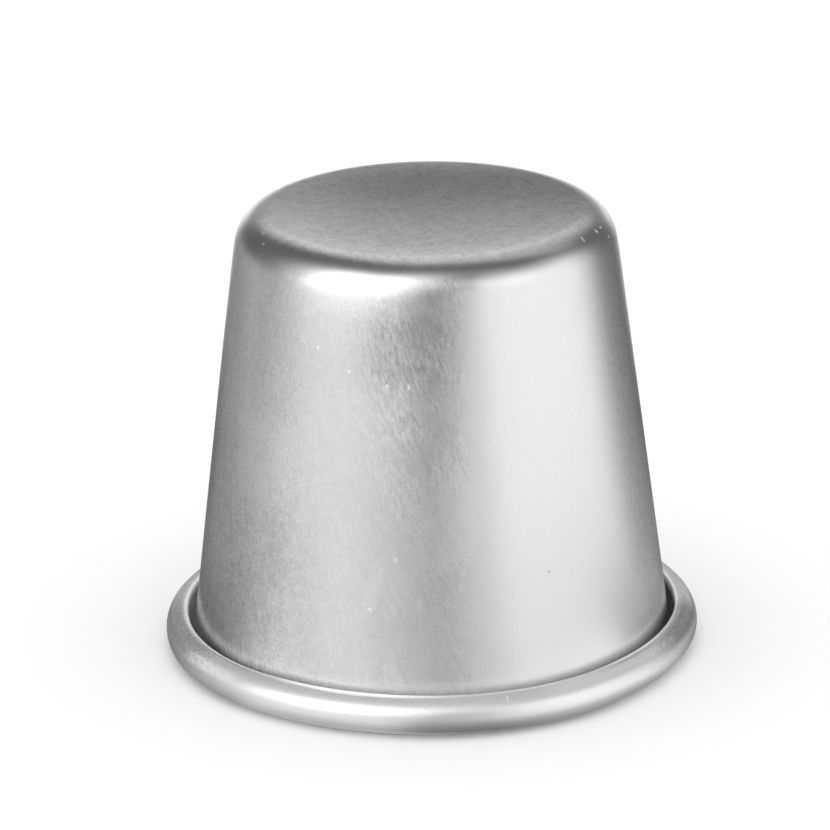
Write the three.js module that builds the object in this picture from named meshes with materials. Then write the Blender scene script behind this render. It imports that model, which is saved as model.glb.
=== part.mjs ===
// Baba mould: a small tapered cup pressed from one sheet of aluminium, with its rim rolled outwards.
// It stands mouth down on the rim. Millimetres, +Z up: the lowest circle of the rim lies in z = 0,
// and the axis of the mould is the Z axis.

import * as THREE from 'three';

const { degToRad } = THREE.MathUtils;

// Driving dimensions
const RIM_DIAMETER = 70; // outside of the rolled rim
const HEIGHT = 59.2; // lowest circle of the rim to the outside of the base
const SHEET = 1.3; // thickness of the sheet
const TAPER = degToRad(7.15); // lean of the wall from the axis
const BASE_CORNER_RADIUS = 4.8; // outside corner where the wall turns into the base
const CURL_RADIUS = 2.5; // outside of the roll's round section
const CURL_STOP = degToRad(70); // where that round stops, measured up from its outermost point
const LIP_LENGTH = 1.25; // flattened strip from there to the cut edge of the sheet
const LIP_RISE = degToRad(5); // slope of the strip, upwards to the wall

// Facets
const AROUND = 96; // steps around the axis
const CORNER_STEPS = 6; // steps round the base corner
const CURL_STEPS = 5; // steps round each quarter of the roll

// Points of the section are (radius, height).
function pointOn(centre, radius, angle) {
  return new THREE.Vector2(Math.cos(angle), Math.sin(angle)).multiplyScalar(radius).add(centre);
}

function arc(centre, radius, start, end, steps) {
  const clockwise = end < start;
  return new THREE.EllipseCurve(centre.x, centre.y, radius, radius, start, end, clockwise).getPoints(steps);
}

// The roll passes its lowest and its outermost circle, and each is a ring of corners on the mesh.
const curlStops = [Math.PI + TAPER, 1.5 * Math.PI, 2 * Math.PI, 2 * Math.PI + CURL_STOP];

function curl(centre, radius) {
  const quarters = curlStops.slice(1).map(
    (stop, index) => arc(centre, radius, curlStops[index], stop, CURL_STEPS).slice(1),
  );
  return [pointOn(centre, radius, curlStops[0]), ...quarters.flat()];
}

const curlCentre = new THREE.Vector2(RIM_DIAMETER / 2 - CURL_RADIUS, CURL_RADIUS);

// The outside of the wall is a straight line that runs into the hollow of the roll.
function wallRadius(z) {
  const innerCurl = CURL_RADIUS - SHEET;
  return curlCentre.x - innerCurl / Math.cos(TAPER) - (z - curlCentre.y) * Math.tan(TAPER);
}

const cornerHeight = HEIGHT - BASE_CORNER_RADIUS;
const cornerCentre = new THREE.Vector2(
  wallRadius(cornerHeight) - BASE_CORNER_RADIUS / Math.cos(TAPER),
  cornerHeight,
);

// The last strip of the sheet leaves the round with a slight crease and ends in a square cut edge.
const lipStart = pointOn(curlCentre, CURL_RADIUS, CURL_STOP);
const lipAlong = new THREE.Vector2(-Math.cos(LIP_RISE), Math.sin(LIP_RISE));
const lipNormal = new THREE.Vector2(Math.sin(LIP_RISE), Math.cos(LIP_RISE));

// One side of the sheet, from the axis to the cut edge. depth is 0 on the outside of the cup and SHEET on its
// inside. The sheet turns over in the roll, so the inside of the cup becomes the outside of the roll.
function sheetSide(depth) {
  const cutCorner = lipStart.clone()
    .addScaledVector(lipAlong, LIP_LENGTH)
    .addScaledVector(lipNormal, depth - SHEET);
  return [
    new THREE.Vector2(0, HEIGHT - depth),
    ...arc(cornerCentre, BASE_CORNER_RADIUS - depth, Math.PI / 2, TAPER, CORNER_STEPS),
    ...curl(curlCentre, CURL_RADIUS - SHEET + depth),
    cutCorner,
  ];
}

function mouldBody() {
  const section = [...sheetSide(SHEET), ...sheetSide(0).reverse()];
  const geometry = new THREE.LatheGeometry(section, AROUND).rotateX(Math.PI / 2);
  const satinAluminium = new THREE.MeshStandardMaterial({ color: 0xc4c5c6, roughness: 0.35, metalness: 1 });
  const body = new THREE.Mesh(geometry, satinAluminium);
  body.name = 'mould_body';
  return body;
}

const babaMould = new THREE.Group();
babaMould.add(mouldBody());

export default babaMould;
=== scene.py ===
"""Baba mould: the finished cup in satin aluminium, and the small studio that it stands in.

Lengths are in metres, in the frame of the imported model: the rim rests on z = 0, and the Z axis is the axis of
the mould. Directions around it are azimuths: 0 faces the camera and + goes to the right of the picture.
"""

import math
from typing import NamedTuple

import bpy
from bpy.props import FloatProperty, FloatVectorProperty, IntProperty, PointerProperty
from mathutils import Matrix, Vector


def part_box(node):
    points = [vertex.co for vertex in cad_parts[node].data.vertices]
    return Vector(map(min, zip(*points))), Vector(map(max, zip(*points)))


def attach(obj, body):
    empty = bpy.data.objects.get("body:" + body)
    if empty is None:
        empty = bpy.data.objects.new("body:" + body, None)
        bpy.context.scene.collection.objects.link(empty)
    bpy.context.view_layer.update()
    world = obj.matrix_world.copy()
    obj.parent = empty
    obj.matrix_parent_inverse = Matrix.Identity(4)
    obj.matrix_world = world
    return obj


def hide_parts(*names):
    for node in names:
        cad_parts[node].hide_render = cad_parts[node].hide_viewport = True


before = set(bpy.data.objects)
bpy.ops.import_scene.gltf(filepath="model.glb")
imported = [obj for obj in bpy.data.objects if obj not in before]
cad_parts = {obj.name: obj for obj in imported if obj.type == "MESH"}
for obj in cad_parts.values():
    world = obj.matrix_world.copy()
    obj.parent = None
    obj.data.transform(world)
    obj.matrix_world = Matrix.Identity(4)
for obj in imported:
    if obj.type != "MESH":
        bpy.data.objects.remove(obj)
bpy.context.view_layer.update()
CAD_NODE = "mould_body"
NODE_LOW, NODE_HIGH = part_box(CAD_NODE)

bl_info = {
    "name": "Baba Mould",
    "version": (1, 0, 0),
    "blender": (4, 5, 0),
    "location": "View3D > Sidebar > Baba Mould",
    "description": "Builds a rolled-rim baba mould in satin aluminium, with a studio around it",
    "category": "Add Mesh",
}

MILLIMETRE = 0.001
MICRON = 1e-6


def length(name, description, default):
    """A length that a user can change, in metres."""
    return FloatProperty(
        name=name,
        description=description,
        default=default,
        min=0,
        precision=5,
        unit="LENGTH",
        subtype="DISTANCE",
    )


def angle(name, description, degrees):
    """An angle that a user can change, given here in degrees."""
    return FloatProperty(name=name, description=description, default=math.radians(degrees), subtype="ANGLE")


def share(name, description, default):
    """A number from 0 to 1 that a user can change."""
    return FloatProperty(name=name, description=description, default=default, min=0, max=1, subtype="FACTOR")


def level(name, description, default):
    """A brightness that a user can change, where 1 is white."""
    return FloatProperty(name=name, description=description, default=default, min=0)


def colour(name, description, default):
    """A linear colour that a user can change."""
    return FloatVectorProperty(
        name=name, description=description, default=default, size=3, min=0, max=1, subtype="COLOR"
    )


def count(name, description, default):
    """A whole number of steps that a user can change."""
    return IntProperty(name=name, description=description, default=default, min=3)


class MouldSizes(bpy.types.PropertyGroup):
    """Sizes of the mould."""

    rim_diameter: length("Rim Diameter", "Outside of the rolled rim", NODE_HIGH.x - NODE_LOW.x)
    height: length("Height", "Lowest circle of the rim to the outside of the base", NODE_HIGH.z - NODE_LOW.z)
    sheet: length("Sheet", "Thickness of the aluminium sheet", 1.3 * MILLIMETRE)
    taper: angle("Taper", "Lean of the wall from the axis", 7.15)
    base_corner: length("Base Corner", "Outside radius where the wall turns into the base", 4.8 * MILLIMETRE)
    ease: length("Ease", "Height over which the base corner runs out into the wall", 3.2 * MILLIMETRE)
    ease_lean: angle("Ease Lean", "Lean of the wall at the base corner, beyond its taper", 2.8)
    curl: length("Curl", "Outside radius of the roll's section", 2.5 * MILLIMETRE)
    curl_stop: angle("Curl Stop", "Where the round of the roll ends, up from its outermost point", 79)
    lip: length("Lip", "Flattened strip from the round to the cut edge", 0.86 * MILLIMETRE)
    lip_rise: angle("Lip Rise", "Slope of that strip, upwards to the wall", 5)
    crease: length("Crease", "Rise of the crease between the round and the strip", 0.03 * MILLIMETRE)
    edge_round: length("Edge Round", "Rounding of the cut edge's two corners", 0.25 * MILLIMETRE)
    around: count("Around", "Steps around the axis", 256)
    base_steps: count("Base Steps", "Rings on the flat of the base", 5)
    ease_steps: count("Ease Steps", "Rings where the corner runs out into the wall", 5)
    corner_steps: count("Corner Steps", "Rings round the base corner", 12)
    wall_steps: count("Wall Steps", "Rings down the wall", 16)
    curl_steps: count("Curl Steps", "Rings round the roll", 28)


class AluminiumLook(bpy.types.PropertyGroup):
    """Finish of the aluminium, and the shade painted into its colour."""

    dull_colour: colour("Dull Colour", "The darkest marks in the metal", (0.4, 0.4, 0.4))
    bright_colour: colour("Bright Colour", "The brightest marks in the metal", (1.0, 1.0, 1.0))
    clean_tone: share("Clean Tone", "Clean metal, on the way from the dull to the bright colour", 0.8)
    stroke_tone: share("Stroke Tone", "Change of tone from the brush strokes", 0.6)
    hair_tone: share("Hair Tone", "Change of tone from the hairlines", 0.5)
    mottle_tone: share("Mottle Tone", "Change of tone from the mottle on the wall", 0.28)
    patch_tone: share("Patch Tone", "Change of tone from the wide patches on the wall", 0.08)
    roll_tone: share("Roll Tone", "How much brighter the roll is", 0.15)
    strip_tone: share("Strip Tone", "How much brighter still its flattened strip is", 0.2)
    # The next three are painted shade on the roll: darker colour on the front of its crest and at its ends.
    crest_shade: share("Crest Tone", "How much duller the top of the roll is", 0.25)
    right_end_shade: share("Right Tone", "How much duller the right end of the roll is", 0.7)
    left_end_shade: share("Left Tone", "How much duller the left end of the roll is", 0.35)
    # Painted shade inside the roll, which darkens its colour.
    groove_shade: share("Grime", "How far the inside of the roll goes to the dull colour", 0.8)
    scuff: share("Scuff", "How matt the scuffs on the left of the roll are", 0.9)
    edge_rub: share("Edge Rub", "How matt the cut edge is at both ends of the roll", 0.6)
    haze: share("Haze", "How matt the wall is just above the groove", 0.25)
    roughness: share("Roughness", "Satin gloss of the clean metal", 0.275)
    stroke_gloss: share("Stroke Gloss", "Roughness that a brush stroke adds", 0.06)
    hair_gloss: share("Hair Gloss", "Roughness that a hairline adds", 0.04)
    fibre_gloss: share("Fibre Gloss", "Roughness that the marks on the base add", 0.04)
    roll_gloss: share("Roll Gloss", "Roughness that the roll adds", 0.14)
    end_gloss: share("End Gloss", "More roughness at the left and right of the roll", 0.06)
    crest_gloss: share("Crest Gloss", "More roughness on the top of the roll", 0.35)
    groove_gloss: share("Grime Gloss", "More roughness inside the roll", 0.3)
    mark_lean: angle("Mark Lean", "Lean of the brush marks from upright", 20)
    stroke_depth: length("Stroke Depth", "Height of the brush strokes on the wall", 12 * MICRON)
    hair_depth: length("Hair Depth", "Height of the hairlines on the wall", 5 * MICRON)
    fibre_depth: length("Fibre Depth", "Height of the short marks on the base", 14 * MICRON)
    grain_depth: length("Grain Depth", "Height of the grain on the roll", 14 * MICRON)
    mottle_depth: length("Mottle Depth", "Height of the slight mottle on the wall", 8 * MICRON)
    mark_depth: length("Mark Depth", "Height of the small marks", 100 * MICRON)


class StudioLook(bpy.types.PropertyGroup):
    """Camera, floor and light."""

    lens: FloatProperty(name="Lens", description="Focal length in millimetres", default=208.19, unit="CAMERA")
    distance: length("Distance", "Camera to the middle of the mould", 0.62517)
    elevation: angle("Elevation", "Camera above the horizon", 19.877)
    roll: angle("Roll", "Lean of the camera about its view axis", -0.941)
    shift_x: FloatProperty(name="Shift X", description="Sideways shift, in picture widths", default=-0.016328)
    shift_y: FloatProperty(name="Shift Y", description="Upright shift, in picture widths", default=0.011473)
    floor_size: length("Floor Size", "Side of the paper that the mould stands on", 12)
    floor_colour: colour("Floor Colour", "Paper that the mould stands on", (0.93, 0.93, 0.93))
    sky: level("Sky", "Even white light from all around", 1.0)
    overhead: FloatProperty(
        name="Overhead", description="Power of the soft lamp overhead", default=3.0, min=0, unit="POWER"
    )
    overhead_height: length("Overhead Height", "Height of that lamp", 1.2)
    overhead_size: length("Overhead Size", "Diameter of that lamp", 1.6)
    ambient: level("Ambient", "Brightness of the light tent between its panels", 0.1)
    # Painted shadow on the tent's floor round the rim.
    foot_shade: share("Foot Shade", "Light left on the paper close to the rim", 0.4)
    tent_radius: length("Tent Radius", "Light tent around the mould", 0.5)
    tent_mouth: length("Tent Mouth", "Hole in the floor of the light tent, round the rim", 0.034)


class SoftPanel(NamedTuple):
    """A soft-edged patch of light on the tent. Angles are in degrees, seen from inside the mould."""

    facing: float
    half_width: float
    rise: float
    half_height: float
    edge: float
    brightness: float


class Wave(NamedTuple):
    """A place where the sheet stands out or in a little, between two levels. The facing is in degrees."""

    facing: float
    low: float
    high: float
    push: float


class Mark(NamedTuple):
    """A small mark left by handling. Its shade is positive for a bright fleck and negative for a dark pit."""

    place: tuple
    radius: float
    shade: float


class ShadePatch(NamedTuple):
    """A soft patch of painted shade on the metal, or of painted light for a negative shade. Angles are in
    degrees.
    """

    facing: float
    half_width: float
    height: float
    half_height: float
    shade: float


# What the metal mirrors. These numbers, and the shades of the card, were fitted to the brightness of the
# photograph, rounded, and then in part adjusted.
SOFT_PANELS = (
    # Level with the mould, for the wall.
    SoftPanel(facing=-64, half_width=35, rise=23, half_height=30, edge=34, brightness=0.44),
    SoftPanel(facing=65, half_width=43, rise=9, half_height=31, edge=34, brightness=0.88),
    SoftPanel(facing=-98, half_width=32, rise=-12, half_height=13, edge=26, brightness=0.21),
    SoftPanel(facing=-146, half_width=36, rise=-3, half_height=8, edge=14, brightness=0.17),
    SoftPanel(facing=178, half_width=24, rise=-4, half_height=11, edge=6, brightness=0.95),
    # High up, for the base corner and the top of the roll. The brightest is the glare under the corner.
    SoftPanel(facing=-41, half_width=33, rise=33, half_height=28, edge=20, brightness=1.35),
    SoftPanel(facing=-4, half_width=27, rise=52, half_height=19, edge=28, brightness=0.49),
    SoftPanel(facing=12, half_width=22, rise=38, half_height=12, edge=20, brightness=0.2),
    SoftPanel(facing=55, half_width=13, rise=40, half_height=21, edge=23, brightness=0.27),
    SoftPanel(facing=136, half_width=19, rise=57, half_height=16, edge=17, brightness=0.33),
    SoftPanel(facing=179, half_width=24, rise=46, half_height=30, edge=30, brightness=0.52),
    # Low down, for the wall and the outside of the roll.
    SoftPanel(facing=-35, half_width=36, rise=-22, half_height=17, edge=34, brightness=0.62),
    SoftPanel(facing=-27, half_width=20, rise=-37, half_height=5, edge=12, brightness=0.32),
    SoftPanel(facing=13, half_width=9, rise=-21, half_height=17, edge=15, brightness=0.34),
    SoftPanel(facing=48, half_width=28, rise=-32, half_height=4, edge=24, brightness=1.27),
    SoftPanel(facing=100, half_width=18, rise=-30, half_height=4, edge=8, brightness=0.18),
    SoftPanel(facing=124, half_width=12, rise=-19, half_height=11, edge=12, brightness=0.13),
)

# Two corners of the card behind the mould.
CARD_LOW = Vector((-42, 45, 68)) * MILLIMETRE
CARD_HIGH = Vector((42, 45, 92)) * MILLIMETRE

WAVES = (
    # Round the rim.
    Wave(facing=-59, low=0, high=0.005, push=0.00018),
    Wave(facing=-22, low=0, high=0.005, push=-0.00015),
    Wave(facing=27, low=0, high=0.005, push=0.00015),
    Wave(facing=58, low=0, high=0.005, push=-0.00018),
    # Under the base corner, at the left.
    Wave(facing=-75, low=0.052, high=0.057, push=-0.0001),
    Wave(facing=-26, low=0.050, high=0.057, push=0.0002),
)

# Picked in the photograph, and carried from there on to the surface.
MARKS = (
    # Flecks on the right of the base corner.
    Mark(place=(0.0216, -0.0077, 0.0582), radius=0.0003, shade=0.6),
    Mark(place=(0.0218, -0.0077, 0.0580), radius=0.0003, shade=0.6),
    Mark(place=(0.0198, -0.0112, 0.0583), radius=0.0003, shade=0.5),
    Mark(place=(0.0200, -0.0114, 0.0581), radius=0.0003, shade=0.5),
    Mark(place=(0.0223, -0.0060, 0.0580), radius=0.0004, shade=0.38),
    Mark(place=(0.0233, -0.0060, 0.0568), radius=0.0004, shade=0.38),
    # Flecks on the left of the base corner.
    Mark(place=(-0.0206, -0.0082, 0.0586), radius=0.0004, shade=0.32),
    Mark(place=(-0.0205, -0.0104, 0.0580), radius=0.0004, shade=0.32),
    # A pit and a few specks on the wall.
    Mark(place=(0.0149, -0.0252, 0.0187), radius=0.0003, shade=-0.6),
    Mark(place=(-0.0136, -0.0217, 0.0478), radius=0.0004, shade=0.3),
    Mark(place=(-0.0097, -0.0240, 0.0453), radius=0.0004, shade=0.3),
    Mark(place=(-0.0050, -0.0256, 0.0439), radius=0.0004, shade=0.3),
    Mark(place=(-0.0023, -0.0260, 0.0438), radius=0.0004, shade=0.3),
    Mark(place=(-0.0077, -0.0287, 0.0153), radius=0.0005, shade=0.3),
    Mark(place=(-0.0043, -0.0285, 0.0219), radius=0.0004, shade=0.25),
    # One short scratch over the top of the roll.
    Mark(place=(0.0093, -0.0323, 0.0048), radius=0.00025, shade=0.35),
    Mark(place=(0.0093, -0.0325, 0.0046), radius=0.00025, shade=0.35),
    Mark(place=(0.0094, -0.0327, 0.0045), radius=0.00025, shade=0.35),
    Mark(place=(0.0094, -0.0330, 0.0042), radius=0.00025, shade=0.35),
)

SHADE_PATCHES = (
    # Painted shade on the base corner.
    ShadePatch(facing=9.5, half_width=5.5, height=0.0566, half_height=0.0008, shade=0.35),
    # Painted shade, and painted light where the shade is negative, on the wall, from the top down.
    ShadePatch(facing=-6, half_width=13, height=0.0485, half_height=0.0045, shade=0.25),
    ShadePatch(facing=-67, half_width=5, height=0.037, half_height=0.016, shade=0.2),
    ShadePatch(facing=8, half_width=5, height=0.036, half_height=0.011, shade=-0.1),
    ShadePatch(facing=-50, half_width=9, height=0.031, half_height=0.006, shade=-0.15),
    ShadePatch(facing=3, half_width=7, height=0.026, half_height=0.005, shade=-0.12),
    ShadePatch(facing=-38, half_width=9, height=0.017, half_height=0.009, shade=0.12),
    ShadePatch(facing=-9, half_width=6, height=0.011, half_height=0.005, shade=0.12),
)


class Value:
    """A number that varies over a surface. Arithmetic on it adds Math nodes."""

    def __init__(self, graph, socket):
        self.graph = graph
        self.socket = socket

    def math(self, operation, *terms):
        inputs = dict(enumerate(terms))
        return self.graph.value("ShaderNodeMath", {"operation": operation}, inputs)

    def __add__(self, other):
        return self.math("ADD", self, other)

    def __radd__(self, other):
        return self.math("ADD", other, self)

    def __sub__(self, other):
        return self.math("SUBTRACT", self, other)

    def __rsub__(self, other):
        return self.math("SUBTRACT", other, self)

    def __mul__(self, other):
        return self.math("MULTIPLY", self, other)

    def __rmul__(self, other):
        return self.math("MULTIPLY", other, self)

    def __truediv__(self, other):
        return self.math("DIVIDE", self, other)

    def __rtruediv__(self, other):
        return self.math("DIVIDE", other, self)

    def __pow__(self, other):
        return self.math("POWER", self, other)

    def __abs__(self):
        return self.math("ABSOLUTE", self)


class Graph:
    """The nodes of a material or of the world, drawn from scratch."""

    def __init__(self, owner):
        owner.use_nodes = True
        self.tree = owner.node_tree
        self.tree.nodes.clear()

    def node(self, kind, settings=None, inputs=None):
        """Adds a node, sets it up, then fills or links its sockets."""
        made = self.tree.nodes.new(kind)
        for name, setting in (settings or {}).items():
            setattr(made, name, setting)
        for name, given in (inputs or {}).items():
            if isinstance(given, Value):
                self.tree.links.new(given.socket, made.inputs[name])
            else:
                made.inputs[name].default_value = given
        return made

    def value(self, kind, settings=None, inputs=None, output=0):
        """Adds a node and returns one of its outputs."""
        return Value(self, self.node(kind, settings, inputs).outputs[output])

    def position(self):
        """Object coordinates, and their three parts."""
        place = self.value("ShaderNodeTexCoord", output="Object")
        parts = self.node("ShaderNodeSeparateXYZ", inputs={"Vector": place})
        return place, *(Value(self, part) for part in parts.outputs)

    def smooth(self, value, start, end, low=0.0, high=1.0):
        """A soft step from low at start to high at end."""
        return self.value(
            "ShaderNodeMapRange",
            {"interpolation_type": "SMOOTHSTEP"},
            {"Value": value, "From Min": start, "From Max": end, "To Min": low, "To Max": high},
        )

    def turned(self, facing, start, end):
        """A soft step from 0 at one azimuth to 1 at another, both in degrees."""
        return self.smooth(facing, math.radians(start), math.radians(end))

    def band(self, value, start, full, fade, end):
        """1 from full to fade, falling softly to 0 at the start and at the end."""
        return self.smooth(value, start, full) * self.smooth(value, end, fade)

    def sector(self, facing, *turns):
        """A soft-sided band of azimuths. Its start, full, fade and end are in degrees."""
        return self.band(facing, *(math.radians(turn) for turn in turns))

    def window(self, turn, half_size, edge):
        """1 within half_size degrees of zero, falling to 0 across a soft edge."""
        inner = math.radians(half_size - edge / 2)
        outer = math.radians(half_size + edge / 2)
        return self.smooth(abs(turn), inner, outer, 1, 0)

    def noise(self, place, scale, detail=2.0, distortion=0.0):
        """Noise from 0 to 1, with spots about 1 / scale metres across."""
        inputs = {"Vector": place, "Scale": scale, "Detail": detail, "Distortion": distortion}
        return self.value("ShaderNodeTexNoise", inputs=inputs)

    def scaled(self, place, factors):
        """A place stretched along its three axes."""
        return self.value("ShaderNodeVectorMath", {"operation": "MULTIPLY"}, {0: place, 1: factors})

    def twisted(self, place, turn):
        """A place turned about the Z axis by an angle that varies."""
        return self.value(
            "ShaderNodeVectorRotate", {"rotation_type": "Z_AXIS"}, {"Vector": place, "Angle": turn}
        )

    def blend(self, factor, first, second):
        """A colour between two colours."""
        return self.value(
            "ShaderNodeMix",
            {"data_type": "RGBA"},
            {"Factor": factor, 6: (*first, 1), 7: (*second, 1)},
            output=2,
        )

    def surface(self, shader, target="ShaderNodeOutputMaterial"):
        """Ends the graph in its output node."""
        self.node(target, inputs={"Surface": Value(self, shader.outputs[0])})


def new_material(name):
    """An empty material and its graph."""
    material = bpy.data.materials.new(name)
    return material, Graph(material)


def crease_radius(sizes):
    """Radius of the ring where the round of the roll meets the flattened strip."""
    return sizes.rim_diameter / 2 - sizes.curl * (1 - math.cos(sizes.curl_stop))


class Zones:
    """Soft masks over the mould, each from 0 to 1, for its parts and for its sides."""

    def __init__(self, graph, sizes):
        self.place, x, y, self.z = graph.position()
        self.radius = (x * x + y * y) ** 0.5
        self.facing = x.math("ARCTAN2", x, 0 - y)

        top = sizes.height
        corner = sizes.base_corner
        base = graph.smooth(self.z, top - 0.7 * corner, top - 0.1 * corner)
        self.flat = graph.smooth(self.z, top - 0.25 * corner, top - 0.03 * corner)
        crease = crease_radius(sizes)
        self.edge_radius = crease - sizes.lip
        gap_start = self.edge_radius - 0.8 * MILLIMETRE
        gap_end = self.edge_radius - 0.5 * MILLIMETRE
        self.off_wall = graph.smooth(self.radius, gap_start, gap_end)
        self.roll = self.off_wall * graph.smooth(self.z, 2.5 * sizes.curl, 2.1 * sizes.curl)
        self.wall = (1 - base) * (1 - self.roll)
        self.roll_top = self.roll * graph.smooth(self.z, 1.55 * sizes.curl, 1.9 * sizes.curl)
        inside_crease = graph.smooth(self.radius, crease + 0.2 * MILLIMETRE, crease - 0.2 * MILLIMETRE)
        self.strip = self.roll_top * inside_crease
        self.crest = self.roll_top - self.strip

        self.back = graph.turned(abs(self.facing), 110, 165)
        self.left = graph.turned(self.facing, -14, -52) * (1 - self.back)
        self.right = graph.turned(self.facing, 52, 75) * (1 - self.back)
        self.ends = graph.turned(abs(self.facing), 45, 66)


def metal_textures(graph, zones, look, sizes):
    """Brush strokes and hairlines that lean on the wall, and patterns without a direction."""
    wall_radius = 0.4 * sizes.rim_diameter
    lean = math.tan(look.mark_lean) / wall_radius
    onto_sleeve = {0: zones.place, "Scale": wall_radius / zones.radius}
    sleeve = graph.value("ShaderNodeVectorMath", {"operation": "SCALE"}, onto_sleeve)

    def brush_marks(slant, across, along):
        """Short marks that lean from upright, about half of across wide and half of along long."""
        leaning = graph.twisted(sleeve, zones.z * slant)
        return graph.noise(graph.scaled(leaning, (1, 1, across / along)), 1 / across)

    strokes = brush_marks(lean, 0.42 * MILLIMETRE, 1.8 * MILLIMETRE)
    hairs = brush_marks(0.6 * lean, 0.28 * MILLIMETRE, 1.4 * MILLIMETRE)
    fibres = graph.noise(zones.place, scale=850, detail=3.0, distortion=1.2)
    grain = graph.noise(zones.place, scale=2800, detail=1.0)
    mottle = graph.noise(zones.place, scale=900)
    patches = graph.smooth(graph.noise(zones.place, scale=180, detail=3.0), 0.3, 0.7, low=0.35)
    return strokes, hairs, fibres, grain, mottle, patches


def small_marks(graph, place):
    """The flecks and pits in the metal, each at full shade in its middle."""
    marks = 0
    for mark in MARKS:
        away = graph.value(
            "ShaderNodeVectorMath", {"operation": "DISTANCE"}, {0: place, 1: mark.place}, output="Value"
        )
        marks = graph.smooth(away, mark.radius, 0, 0, mark.shade) + marks
    return marks


def painted_patches(graph, zones):
    """How much painted shade the soft patches put on the metal, each at full shade in its middle; a negative
    shade is painted light.
    """
    painted = 0
    for patch in SHADE_PATCHES:
        half_turn = math.radians(patch.half_width)
        aside = abs(zones.facing - math.radians(patch.facing))
        across = graph.smooth(aside, 1.5 * half_turn, 0.5 * half_turn)
        upright = graph.smooth(abs(zones.z - patch.height), 1.5 * patch.half_height, 0.5 * patch.half_height)
        painted = across * upright * patch.shade + painted
    return painted


def wall_wear(graph, zones, patches, sizes):
    """How strongly the wall is brushed, and how strongly it is mottled."""
    front = graph.sector(zones.facing, -30, -6, 7, 13) * patches
    upper = graph.smooth(zones.z, 0.35 * sizes.height, 0.75 * sizes.height)
    low_left = zones.left * graph.smooth(zones.z, 0.8 * sizes.height, 0.3 * sizes.height)
    sides = 0.5 * zones.left + 0.9 * zones.right + 0.6 * zones.back
    brushed = zones.wall * (0.08 + front * (0.6 + 1.1 * upper) + sides)
    mottled = zones.wall * (zones.left + low_left + 0.5 * front * (1 - upper) + zones.back)
    return brushed, mottled


def groove_painted_shade(graph, zones, sizes):
    """Painted shade inside the roll, weaker on the cut face and at the left end."""
    curl_radius = sizes.rim_diameter / 2 - sizes.curl
    from_curl = ((zones.radius - curl_radius) ** 2 + (zones.z - sizes.curl) ** 2) ** 0.5
    hollow = graph.smooth(from_curl, 0.85 * sizes.curl, 0.65 * sizes.curl)
    from_edge = zones.radius - zones.edge_radius
    cut_face = graph.smooth(from_edge, 0.2 * MILLIMETRE, 0.1 * MILLIMETRE)
    in_groove = zones.off_wall * graph.smooth(zones.z, 2 * sizes.curl, 1.95 * sizes.curl)
    lit_left_end = graph.turned(zones.facing, -60, -85) * (1 - zones.back)
    return in_groove * (1 - (1 - hollow) * (1 - 0.4 * cut_face)) * (1 - 0.7 * lit_left_end)


def roll_painted_shade(graph, zones, look, sizes):
    """Painted shade on the roll: how much darker its colour is over the front of its crest and at its two ends.
    """
    shaded_crest = zones.crest * graph.turned(zones.facing, 35, 15) * (1 - zones.back)
    right_end = graph.sector(zones.facing, 54, 72, 82, 92)
    left_end = graph.sector(zones.facing, -98, -85, -66, -55)
    upper_side = zones.roll * graph.smooth(zones.z, 1.2 * sizes.curl, 1.75 * sizes.curl)
    shaded_ends = upper_side * (look.right_end_shade * right_end + look.left_end_shade * left_end)
    return look.crest_shade * shaded_crest + shaded_ends


def mattness(graph, zones, grain, marks, look, sizes):
    """How matt the metal is, in flecks and scuffs, along the cut edge and at the foot of the wall."""
    flecks = graph.smooth(marks, 0, 1)
    shoulder = graph.band(zones.z, 1.15 * sizes.curl, 1.55 * sizes.curl, 1.7 * sizes.curl, 1.9 * sizes.curl)
    scuffs = zones.roll * shoulder * graph.sector(zones.facing, -70, -60, -52, -43) * grain
    from_edge = zones.radius - zones.edge_radius - zones.left * 0.2 * MILLIMETRE
    edge_line = zones.roll_top * graph.smooth(from_edge, 0.4 * MILLIMETRE, 0.25 * MILLIMETRE)
    edge_line = edge_line * graph.turned(abs(zones.facing), 35, 50)
    foot = (1 - zones.off_wall) * graph.smooth(zones.z, 2.7 * sizes.curl, 2.2 * sizes.curl)
    hazy_foot = foot * graph.sector(zones.facing, -70, -25, 60, 85)
    return flecks + look.scuff * scuffs + look.edge_rub * edge_line + look.haze * hazy_foot


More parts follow.
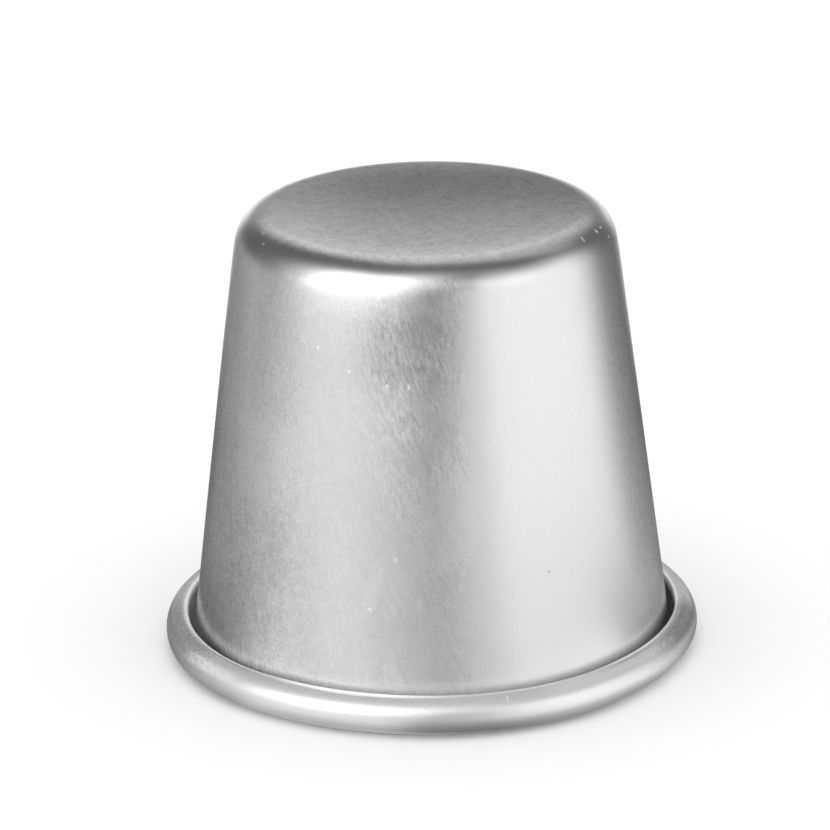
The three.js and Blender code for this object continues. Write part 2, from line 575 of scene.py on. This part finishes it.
def satin_aluminium(look, sizes):
    """Pressed aluminium: brushed and mottled on the wall, fibrous on the base, grainy on the roll; painted
    shade in places.
    """
    material, graph = new_material("satin_aluminium")
    zones = Zones(graph, sizes)
    strokes, hairs, fibres, grain, mottle, patches = metal_textures(graph, zones, look, sizes)
    brushed, mottled = wall_wear(graph, zones, patches, sizes)
    # Painted shade inside the roll, taken off the colour below.
    groove_shade = groove_painted_shade(graph, zones, sizes)
    marks = small_marks(graph, zones.place)

    roughness = look.roughness + brushed * (strokes * look.stroke_gloss + hairs * look.hair_gloss)
    roughness = roughness + zones.flat * fibres * look.fibre_gloss + groove_shade * look.groove_gloss
    roughness = roughness + zones.roll * (look.roll_gloss + zones.ends * look.end_gloss)
    roughness = roughness + zones.crest * look.crest_gloss

    height = brushed * (strokes * look.stroke_depth + hairs * look.hair_depth + mottle * look.mottle_depth)
    height = height + zones.flat * fibres * look.fibre_depth
    height = height + zones.roll * (0.1 + zones.ends) * grain * look.grain_depth
    height = height + marks * look.mark_depth
    bump = graph.node("ShaderNodeBump", inputs={"Strength": 1.0, "Distance": 1.0, "Height": height})

    # Painted shade: the soft patches darken the colour, or lighten it where their shade is negative.
    tone = look.clean_tone + marks - painted_patches(graph, zones) - look.groove_shade * groove_shade
    tone = tone + look.roll_tone * zones.roll + look.strip_tone * zones.strip
    # Painted shade on the front of the roll's crest and at its two ends.
    tone = tone - roll_painted_shade(graph, zones, look, sizes)
    tone = tone + brushed * ((strokes - 0.5) * look.stroke_tone + (hairs - 0.5) * look.hair_tone)
    tone = tone + mottled * ((mottle - 0.5) * look.mottle_tone + (patches - 0.7) * look.patch_tone)
    tone = tone + zones.flat * (fibres - 0.5)
    speckle = 0.05 + 0.3 * brushed + 0.3 * mottled + 0.6 * zones.flat + zones.roll * (0.1 + 0.8 * zones.ends)
    tone = tone + speckle * (grain - 0.5)

    shader = graph.node(
        "ShaderNodeBsdfPrincipled",
        inputs={
            "Base Color": graph.blend(tone, look.dull_colour, look.bright_colour),
            "Metallic": 1 - mattness(graph, zones, grain, marks, look, sizes),
            "Roughness": roughness,
            "Normal": Value(graph, bump.outputs[0]),
        },
    )
    graph.surface(shader)
    return material


def floor_paper(look):
    """Plain pale paper, white at a distance, where it meets the sky."""
    material, graph = new_material("floor_paper")
    _, x, y, _ = graph.position()
    far = graph.smooth((x * x + y * y) ** 0.5, look.tent_radius, 4 * look.tent_radius)
    shader = graph.node(
        "ShaderNodeBsdfPrincipled",
        inputs={
            "Base Color": graph.blend(far, look.floor_colour, (1, 1, 1)),
            "Roughness": 0.9,
            "Specular IOR Level": 0.0,
        },
    )
    graph.surface(shader)
    return material


def tent_cloth(look, eye_height):
    """The lit cloth of the tent: an even glow with soft panels, placed by direction from inside the mould."""
    material, graph = new_material("tent_cloth")
    _, x, y, z = graph.position()
    facing = x.math("ARCTAN2", x, 0 - y)
    rise = x.math("ARCTAN2", z - eye_height, (x * x + y * y) ** 0.5)
    light = look.ambient
    for panel in SOFT_PANELS:
        turn = facing - math.radians(panel.facing)
        aside = turn.math("WRAP", turn, math.pi, -math.pi)
        across = graph.window(aside, panel.half_width, panel.edge)
        upright = graph.window(rise - math.radians(panel.rise), panel.half_height, panel.edge)
        light = across * upright * panel.brightness + light
    # Painted shadow: the tent's glow is dimmed towards its mouth, and the roll mirrors this as shade on the
    # paper by the rim.
    foot = graph.smooth(rise, math.radians(-45), math.radians(-36), look.foot_shade, 1)
    light = light * foot
    shader = graph.node("ShaderNodeEmission", inputs={"Color": light, "Strength": 1.0})
    graph.surface(shader)
    material.cycles.emission_sampling = "NONE"
    return material


def graded_card():
    """A card that glows: dark at its foot, and brighter to its top and to both of its ends, for the base to
    mirror.
    """
    material, graph = new_material("graded_card")
    _, x, _, z = graph.position()
    top = graph.smooth(z, 75 * MILLIMETRE, 83 * MILLIMETRE)
    top_glow = graph.smooth(abs(x), 14 * MILLIMETRE, 38 * MILLIMETRE, 0.74, 0.36)
    left_glow = graph.smooth(x, -1 * MILLIMETRE, -29 * MILLIMETRE, 0, 0.23)
    right_glow = graph.smooth(x, 14 * MILLIMETRE, 44 * MILLIMETRE, 0, 0.17)
    light = top * top_glow + left_glow + right_glow
    graph.surface(graph.node("ShaderNodeEmission", inputs={"Color": light, "Strength": 1.0}))
    material.cycles.emission_sampling = "NONE"
    return material


def only_reflected(thing):
    """Shows a part of the studio in the metal and nowhere else."""
    thing.visible_camera = False
    thing.visible_diffuse = False
    thing.visible_transmission = False
    thing.visible_volume_scatter = False
    thing.visible_shadow = False
    return thing


def arc(centre, radius, start, end, steps):
    """Points round part of a circle in the (radius, height) plane, both ends included."""
    turns = (start + (end - start) * step / steps for step in range(steps + 1))
    return [centre + radius * Vector((math.cos(turn), math.sin(turn))) for turn in turns]


def between(first, last, steps):
    """Points spaced evenly from first to last, without the ends."""
    return [first.lerp(last, step / steps) for step in range(1, steps)]


def sheet_section(sizes):
    """The outside of the sheet from the middle of the base to the cut edge, as (radius, height) points."""
    curl_centre = Vector((sizes.rim_diameter / 2 - sizes.curl, sizes.curl))
    hollow = sizes.curl - sizes.sheet
    wall_foot = curl_centre.x - hollow / math.cos(sizes.taper)

    def wall_point(height, inset=0.0):
        """A point of the straight wall, or a little inside it."""
        return Vector((wall_foot - (height - curl_centre.y) * math.tan(sizes.taper) - inset, height))

    corner_end = sizes.taper + sizes.ease_lean
    corner_height = sizes.height - sizes.base_corner
    inset = math.tan(sizes.ease_lean) * sizes.ease / 2
    wall_top = wall_point(corner_height + sizes.base_corner * math.sin(corner_end), inset)
    corner_centre = Vector((wall_top.x - sizes.base_corner * math.cos(corner_end), corner_height))
    corner = arc(corner_centre, sizes.base_corner, math.pi / 2, corner_end, sizes.corner_steps)
    curl = arc(curl_centre, hollow, math.pi + sizes.taper, 2 * math.pi + sizes.curl_stop, sizes.curl_steps)
    middle = Vector((0, sizes.height))
    base = between(middle, corner[0], sizes.base_steps)
    shares = [step / sizes.ease_steps for step in range(1, sizes.ease_steps + 1)]
    ease = [wall_point(wall_top.y - sizes.ease * part, inset * (1 - part) ** 2) for part in shares]
    wall = [*ease, *between(ease[-1], curl[0], sizes.wall_steps)]
    strip_start = curl_centre + sizes.curl * Vector((math.cos(sizes.curl_stop), math.sin(sizes.curl_stop)))
    strip_along = Vector((-math.cos(sizes.lip_rise), math.sin(sizes.lip_rise)))
    strip_up = Vector((math.sin(sizes.lip_rise), math.cos(sizes.lip_rise)))
    cut_corner = strip_start + sizes.lip * strip_along - sizes.sheet * strip_up
    crease_foot = curl[-1].lerp(cut_corner, 0.2)
    strip = [crease_foot, *between(crease_foot, cut_corner, 3)]
    return [*base, *corner, *wall, *curl, *strip, cut_corner]


def draw_rings(name, rings, around, filled):
    """Extrudes a circle ring by ring along (radius, height) points, and returns the object in edit mode."""
    bpy.ops.object.select_all(action="DESELECT")
    fill = "TRIFAN" if filled else "NOTHING"
    bpy.ops.mesh.primitive_circle_add(
        vertices=around, radius=rings[0].x, fill_type=fill, location=(0, 0, rings[0].y)
    )
    drawn = bpy.context.object
    drawn.name = name
    drawn.data.name = name
    bpy.ops.object.transform_apply(location=True)
    bpy.ops.object.mode_set(mode="EDIT")
    bpy.ops.mesh.select_mode(type="EDGE")
    bpy.ops.mesh.select_all(action="SELECT")
    if filled:
        bpy.ops.mesh.region_to_loop()
    for last, ring in zip(rings, rings[1:]):
        bpy.ops.mesh.extrude_edges_move(TRANSFORM_OT_translate={"value": (0, 0, ring.y - last.y)})
        growth = ring.x / last.x
        bpy.ops.transform.resize(value=(growth, growth, 1), center_override=(0, 0, ring.y))
    return drawn


def apply_modifier(kind, **settings):
    """Adds a modifier to the active object, sets it up and applies it."""
    bpy.ops.object.modifier_add(type=kind)
    modifier = bpy.context.object.modifiers[-1]
    for name, setting in settings.items():
        setattr(modifier, name, setting)
    bpy.ops.object.modifier_apply(modifier=modifier.name)


def finished(drawn, material):
    """Leaves edit mode and gives an object its only material."""
    bpy.ops.object.mode_set(mode="OBJECT")
    drawn.data.materials.clear()
    drawn.data.materials.append(material)
    return drawn


def select_points(thing, wanted):
    """Opens an object in edit mode with only the wanted points selected."""
    bpy.ops.object.mode_set(mode="EDIT")
    bpy.ops.mesh.select_mode(type="VERT")
    bpy.ops.mesh.select_all(action="DESELECT")
    bpy.ops.object.mode_set(mode="OBJECT")
    for vertex in thing.data.vertices:
        vertex.select = wanted(vertex.co)
    bpy.ops.object.mode_set(mode="EDIT")


class BABA_MOULD_OT_body(bpy.types.Operator):
    """Draw the cup and its rolled rim as one sheet, thicken it and finish it in satin aluminium"""

    bl_idname = "baba_mould.body"
    bl_label = "Mould Body"
    bl_options = {"REGISTER", "UNDO"}

    def execute(self, context):
        sizes = context.scene.mould_sizes
        body = draw_rings("pressed_mould", sheet_section(sizes), sizes.around, filled=True)
        finished(body, satin_aluminium(context.scene.aluminium_look, sizes))
        apply_modifier("SOLIDIFY", thickness=sizes.sheet, offset=-1.0, use_even_offset=False)
        apply_modifier(
            "BEVEL", width=sizes.edge_round, segments=3, limit_method="ANGLE", angle_limit=math.radians(60)
        )
        self.crease(body, sizes)
        for wave in WAVES:
            self.push(body, wave, 0.35 * sizes.rim_diameter / 2)
        bpy.ops.object.shade_smooth_by_angle(angle=math.radians(35))
        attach(body, "root")
        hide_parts(CAD_NODE)
        return {"FINISHED"}

    def crease(self, body, sizes):
        """Raises the ring where the round of the roll meets the flattened strip."""
        ring_radius = crease_radius(sizes)
        ring_height = sizes.curl * (1 + math.sin(sizes.curl_stop))
        reach = 0.15 * MILLIMETRE

        def on_crease(point):
            return math.hypot(point.xy.length - ring_radius, point.z - ring_height) < reach

        select_points(body, on_crease)
        bpy.ops.transform.translate(value=(0, 0, sizes.crease))
        bpy.ops.object.mode_set(mode="OBJECT")

    def push(self, body, wave, reach):
        """Pushes the sheet out or in a little at one place, and less around it."""
        facing = math.radians(wave.facing)
        outwards = Vector((math.sin(facing), -math.cos(facing), 0))

        def on_wave(point):
            """Between the wave's two levels, and within about 8 degrees of its facing."""
            return wave.low <= point.z <= wave.high and point.dot(outwards) > 0.99 * point.xy.length

        select_points(body, on_wave)
        bpy.ops.transform.translate(
            value=outwards * wave.push,
            use_proportional_edit=True,
            proportional_edit_falloff="SMOOTH",
            proportional_size=reach,
        )
        bpy.ops.object.mode_set(mode="OBJECT")


class BABA_MOULD_OT_studio(bpy.types.Operator):
    """Lay the floor, hang the light tent and set the lamp, the sky and the camera"""

    bl_idname = "baba_mould.studio"
    bl_label = "Studio"
    bl_options = {"REGISTER", "UNDO"}

    def execute(self, context):
        look = context.scene.studio_look
        middle = Vector((0, 0, context.scene.mould_sizes.height / 2))
        self.floor(look)
        self.tent(look, middle.z)
        self.card()
        self.lamp(look)
        self.sky(context.scene, look)
        context.scene.camera = self.camera(look, middle)
        context.scene.view_settings.view_transform = "Standard"
        return {"FINISHED"}

    def floor(self, look):
        """Plain paper under the mould."""
        bpy.ops.object.select_all(action="DESELECT")
        bpy.ops.mesh.primitive_plane_add(size=look.floor_size)
        floor = bpy.context.object
        floor.name = "floor"
        return finished(floor, floor_paper(look))

    def tent(self, look, eye_height):
        """A dome with a floor of its own just over the paper, open under the mould."""
        floor_height = 0.1 * MILLIMETRE
        mouth = Vector((look.tent_mouth, floor_height))
        foot = Vector((look.tent_radius, floor_height))
        roof = arc(Vector((0, floor_height)), look.tent_radius, 0, math.radians(89.5), steps=24)
        rings = [mouth, *between(mouth, foot, steps=12), *roof]
        tent = draw_rings("light_tent", rings, around=96, filled=False)
        bpy.ops.mesh.merge(type="CENTER")
        finished(tent, tent_cloth(look, eye_height))
        bpy.ops.object.shade_smooth()
        return only_reflected(tent)

    def card(self):
        """An upright glowing card behind the mould."""
        size = CARD_HIGH - CARD_LOW
        bpy.ops.object.select_all(action="DESELECT")
        bpy.ops.mesh.primitive_plane_add(size=1)
        card = bpy.context.object
        card.name = "graded_card"
        card.scale = (size.x, size.z, 1)
        card.rotation_euler.x = math.radians(90)
        card.location = (CARD_LOW + CARD_HIGH) / 2
        bpy.ops.object.transform_apply()
        finished(card, graded_card())
        return only_reflected(card)

    def lamp(self, look):
        """A soft lamp over the mould, which the metal does not mirror."""
        bpy.ops.object.light_add(type="AREA", location=(0, 0, look.overhead_height))
        lamp = bpy.context.object
        lamp.name = "overhead_lamp"
        lamp.data.shape = "DISK"
        lamp.data.size = look.overhead_size
        lamp.data.energy = look.overhead
        lamp.visible_glossy = False

    def sky(self, scene, look):
        """Even white light, which is also the background."""
        world = bpy.data.worlds.new("white_sky")
        scene.world = world
        graph = Graph(world)
        background = graph.node("ShaderNodeBackground", inputs={"Color": (1, 1, 1, 1), "Strength": look.sky})
        graph.surface(background, "ShaderNodeOutputWorld")
        world.cycles.sampling_method = "NONE"

    def camera(self, look, middle):
        """A long lens from the front, a little above the mould."""
        bpy.ops.object.camera_add()
        camera = bpy.context.object
        camera.name = "camera"
        camera.data.lens = look.lens
        camera.data.shift_x = look.shift_x
        camera.data.shift_y = look.shift_y
        back = Vector((0, -math.cos(look.elevation), math.sin(look.elevation)))
        aim = (-back).to_track_quat("-Z", "Y").to_matrix().to_4x4()
        lean = Matrix.Rotation(look.roll, 4, "Z")
        camera.matrix_world = Matrix.Translation(middle + look.distance * back) @ aim @ lean
        return camera


class BABA_MOULD_PT_sidebar(bpy.types.Panel):
    """The mould's sizes and looks, and the buttons that build it"""

    bl_idname = "BABA_MOULD_PT_sidebar"
    bl_label = "Baba Mould"
    bl_space_type = "VIEW_3D"
    bl_region_type = "UI"
    bl_category = "Baba Mould"

    def draw(self, context):
        scene = context.scene
        for settings in (scene.mould_sizes, scene.aluminium_look, scene.studio_look):
            box = self.layout.box()
            for name in settings.__annotations__:
                box.prop(settings, name)
        for operator in OPERATORS:
            self.layout.operator(operator.bl_idname)


SETTINGS = {"mould_sizes": MouldSizes, "aluminium_look": AluminiumLook, "studio_look": StudioLook}
OPERATORS = (BABA_MOULD_OT_body, BABA_MOULD_OT_studio)
CLASSES = (*SETTINGS.values(), *OPERATORS, BABA_MOULD_PT_sidebar)


def register():
    for each in CLASSES:
        bpy.utils.register_class(each)
    for name, group in SETTINGS.items():
        setattr(bpy.types.Scene, name, PointerProperty(type=group))


def unregister():
    for name in SETTINGS:
        delattr(bpy.types.Scene, name)
    for each in reversed(CLASSES):
        bpy.utils.unregister_class(each)


def main():
    register()
    bpy.ops.baba_mould.body()
    bpy.ops.baba_mould.studio()


if __name__ == "__main__":
    main()
